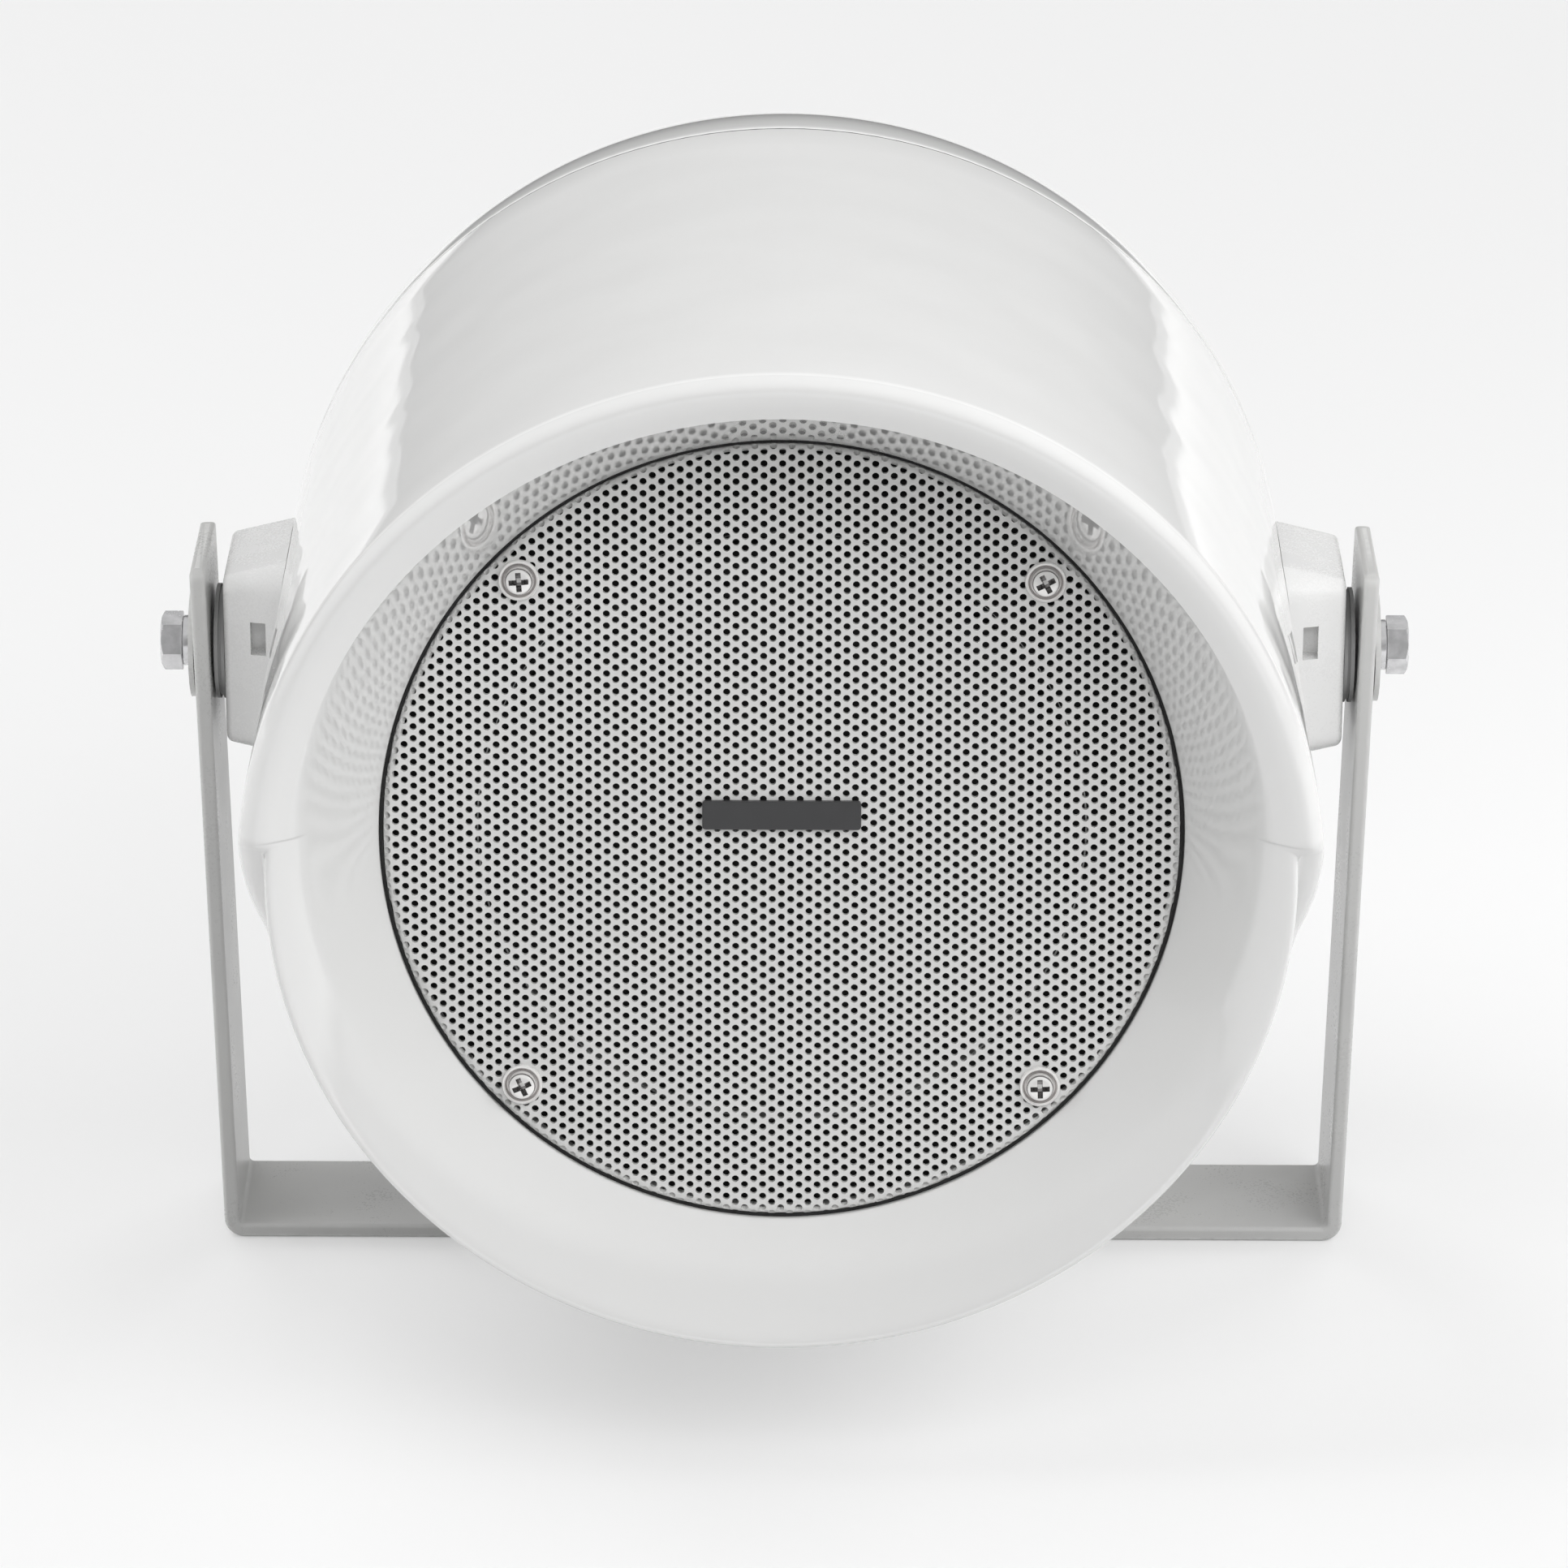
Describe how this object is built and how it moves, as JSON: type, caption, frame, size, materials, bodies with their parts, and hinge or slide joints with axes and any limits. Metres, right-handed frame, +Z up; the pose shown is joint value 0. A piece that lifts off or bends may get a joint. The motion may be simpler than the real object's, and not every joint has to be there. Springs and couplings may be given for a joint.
{
  "type": "outdoor patio speaker",
  "caption": "Weatherproof barrel loudspeaker with rain hood, round perforated grille and domed back, held by hex bolts in a tilting U bracket of flat strip.",
  "frame": {"origin": "centre of the bracket's middle hole, on the underside of its base strip", "axes": "+Z up, -Y out of the speaker's mouth, X along the pivot line"},
  "size_m": [0.2436, 0.2124, 0.2213],
  "materials": {
    "bracket_paint": "satin light grey paint",
    "housing_white": "glossy white moulding",
    "block_grey": "satin light grey moulding",
    "disc_grey": "matt dark grey",
    "zinc": "bright zinc plate",
    "brass": "machined",
    "seal_black": "matt",
    "gland_grey": "satin",
    "grille_white": "white powder coat on perforated aluminium sheet",
    "badge_dark": "satin, blank",
    "basket_black": "satin black paint",
    "foam_black": "closed-cell foam",
    "ferrite": "sintered",
    "plate_zinc": "zinc plate",
    "cone_paper": "pulp, black",
    "coil_copper": "enamelled copper wire",
    "surround_rubber": "matt",
    "spider_cloth": "impregnated cloth",
    "core_steel": "varnished laminations",
    "board_brown": "laminate"
  },
  "bodies": {
    "bracket": {"u_bracket": "bracket_paint"},
    "speaker": {"front_housing": "housing_white", "flare_baffle": "housing_white", "rear_cover": "housing_white", "rear_seal": "seal_black", "rear_cover_screws": "zinc", "gland_body": "gland_grey", "gland_lock_nut": "gland_grey", "gland_seal": "seal_black", "gland_cap": "gland_grey", "transformer_core": "core_steel", "transformer_coil": "coil_copper", "transformer_clamps": "plate_zinc", "transformer_screws": "zinc", "terminal_board": "board_brown", "terminal_tags": "brass", "grille": "grille_white", "grille_screws": "zinc", "badge_plate": "badge_dark", "driver_basket": "basket_black", "driver_gasket": "foam_black", "driver_screws": "zinc", "top_plate": "plate_zinc", "magnet": "ferrite", "yoke": "plate_zinc", "surround": "surround_rubber", "spider": "spider_cloth", "left_pivot_block": "block_grey", "left_pivot_insert": "brass", "left_friction_disc": "disc_grey", "left_flat_washer": "bracket_paint", "left_spring_washer": "zinc", "left_pivot_bolt": "zinc", "left_block_screws": "zinc", "right_pivot_block": "block_grey", "right_pivot_insert": "brass", "right_friction_disc": "disc_grey", "right_flat_washer": "bracket_paint", "right_spring_washer": "zinc", "right_pivot_bolt": "zinc", "right_block_screws": "zinc"},
    "cone_assembly": {"cone": "cone_paper", "dust_cap": "cone_paper", "voice_coil": "coil_copper"}
  },
  "joints": [
    {"name": "tilt", "type": "hinge", "parent": "bracket", "child": "speaker", "pos_m": [0, 0, 0.1228], "axis": [-1, 0, 0], "range_deg": [-25, 90]},
    {"name": "cone_travel", "type": "slide", "parent": "speaker", "child": "cone_assembly", "axis": [0, -0.9903, 0.1392], "range_m": [-0.0015, 0.0015], "stiffness_N_per_m": 1500, "deforming": ["surround", "spider"]}
  ]
}
